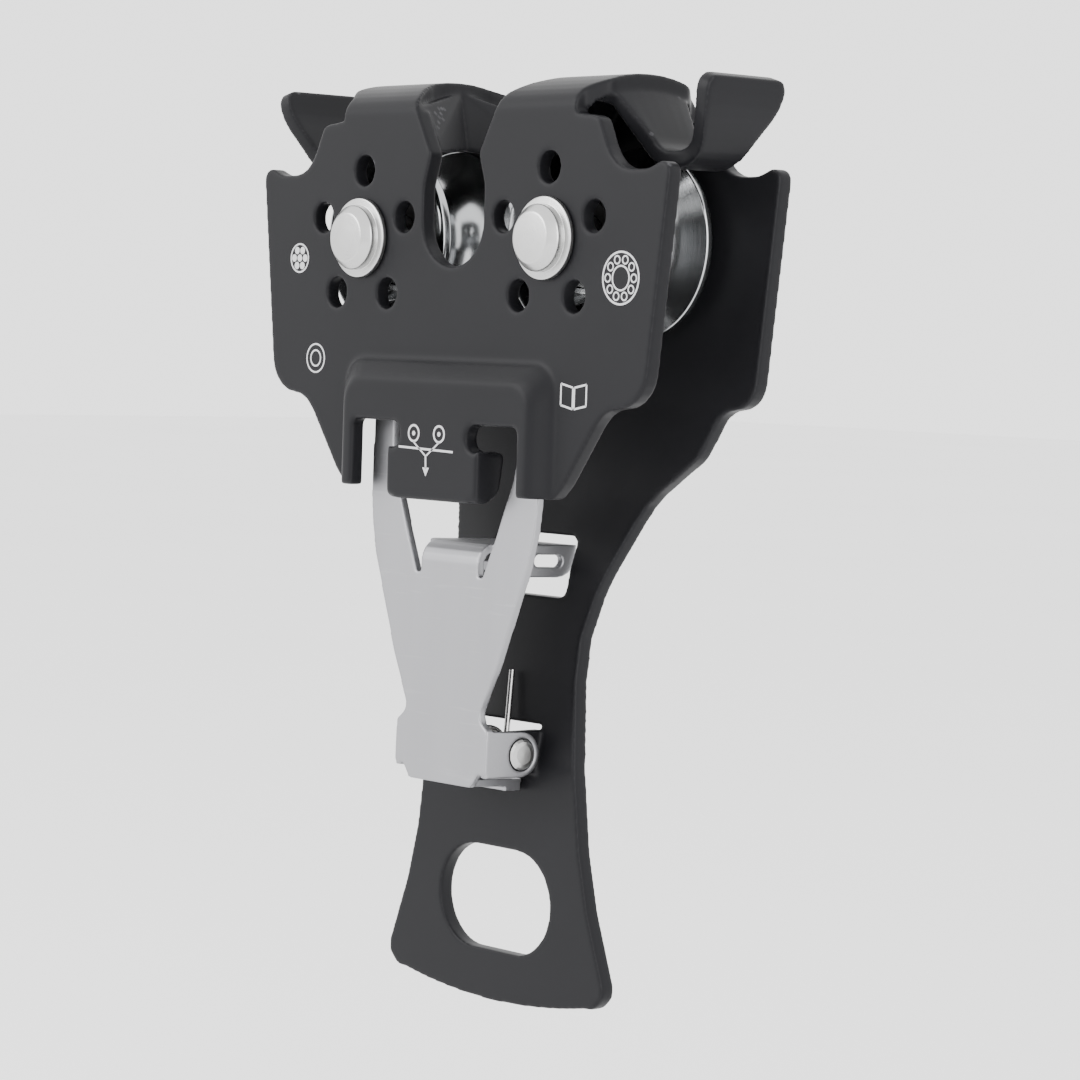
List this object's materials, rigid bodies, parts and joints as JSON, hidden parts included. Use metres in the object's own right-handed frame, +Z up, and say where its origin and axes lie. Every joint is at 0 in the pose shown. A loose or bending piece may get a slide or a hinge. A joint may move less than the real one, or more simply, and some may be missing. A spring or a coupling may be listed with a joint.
{
  "type": "rope pulley",
  "caption": "Cable pulley with grooved wheels in line inside a folded sheet body, a sprung side gate, a long handle and an oblong hanging eye.",
  "frame": {"origin": "on the centreline of the cable, under and midway between the wheels", "axes": "+X along the cable, +Z up away from the hanging eye, -Y towards the front cheek with the gate"},
  "size_m": [0.1534, 0.0484, 0.2175],
  "materials": {
    "body_coat": "satin black coating on steel sheet",
    "gate_steel": "bead-blasted stainless sheet",
    "turned_steel": "fine turned stainless",
    "sheave_alloy": "polished aluminium, turned",
    "bearing_steel": "ground bearing steel",
    "spring_wire": "drawn stainless wire",
    "seal_rubber": "matt moulded rubber"
  },
  "bodies": {
    "body": {"body_plate": "body_coat", "gate_pin": "turned_steel", "gate_spring": "spring_wire", "left_axle": "turned_steel", "left_inner_race_front": "bearing_steel", "left_spacer_front": "turned_steel", "left_inner_race_rear": "bearing_steel", "left_spacer_rear": "turned_steel", "right_axle": "turned_steel", "right_inner_race_front": "bearing_steel", "right_spacer_front": "turned_steel", "right_inner_race_rear": "bearing_steel", "right_spacer_rear": "turned_steel"},
    "gate": {"gate_plate": "gate_steel"},
    "left_wheel": {"left_sheave": "sheave_alloy", "left_outer_race_front": "bearing_steel", "left_seal_front": "seal_rubber", "left_outer_race_rear": "bearing_steel", "left_seal_rear": "seal_rubber"},
    "left_balls": {"left_ball_cage_front": "bearing_steel", "left_ball_cage_rear": "bearing_steel"},
    "right_wheel": {"right_sheave": "sheave_alloy", "right_outer_race_front": "bearing_steel", "right_seal_front": "seal_rubber", "right_outer_race_rear": "bearing_steel", "right_seal_rear": "seal_rubber"},
    "right_balls": {"right_ball_cage_front": "bearing_steel", "right_ball_cage_rear": "bearing_steel"}
  },
  "joints": [
    {"name": "left_wheel_spin", "type": "hinge", "parent": "body", "child": "left_wheel", "pos_m": [-0.033, 0, 0.019], "axis": [0, 1, 0], "continuous": true},
    {"name": "left_balls_spin", "type": "hinge", "parent": "body", "child": "left_balls", "pos_m": [-0.033, 0, 0.019], "axis": [0, 1, 0], "continuous": true},
    {"name": "right_wheel_spin", "type": "hinge", "parent": "body", "child": "right_wheel", "pos_m": [0.033, 0, 0.019], "axis": [0, 1, 0], "continuous": true},
    {"name": "right_balls_spin", "type": "hinge", "parent": "body", "child": "right_balls", "pos_m": [0.033, 0, 0.019], "axis": [0, 1, 0], "continuous": true},
    {"name": "gate_swing", "type": "hinge", "parent": "body", "child": "gate", "pos_m": [0, -0.0069, -0.1001], "axis": [-1, 0, 0], "range_deg": [0, 15], "stiffness_Nm_per_rad": 0.24, "springref_deg": -34.38, "deforming": ["gate_spring"]}
  ],
  "couplings": [
    {"joint": "left_balls_spin", "follows": "left_wheel_spin", "ratio": 0.6283},
    {"joint": "right_balls_spin", "follows": "right_wheel_spin", "ratio": 0.6283}
  ]
}
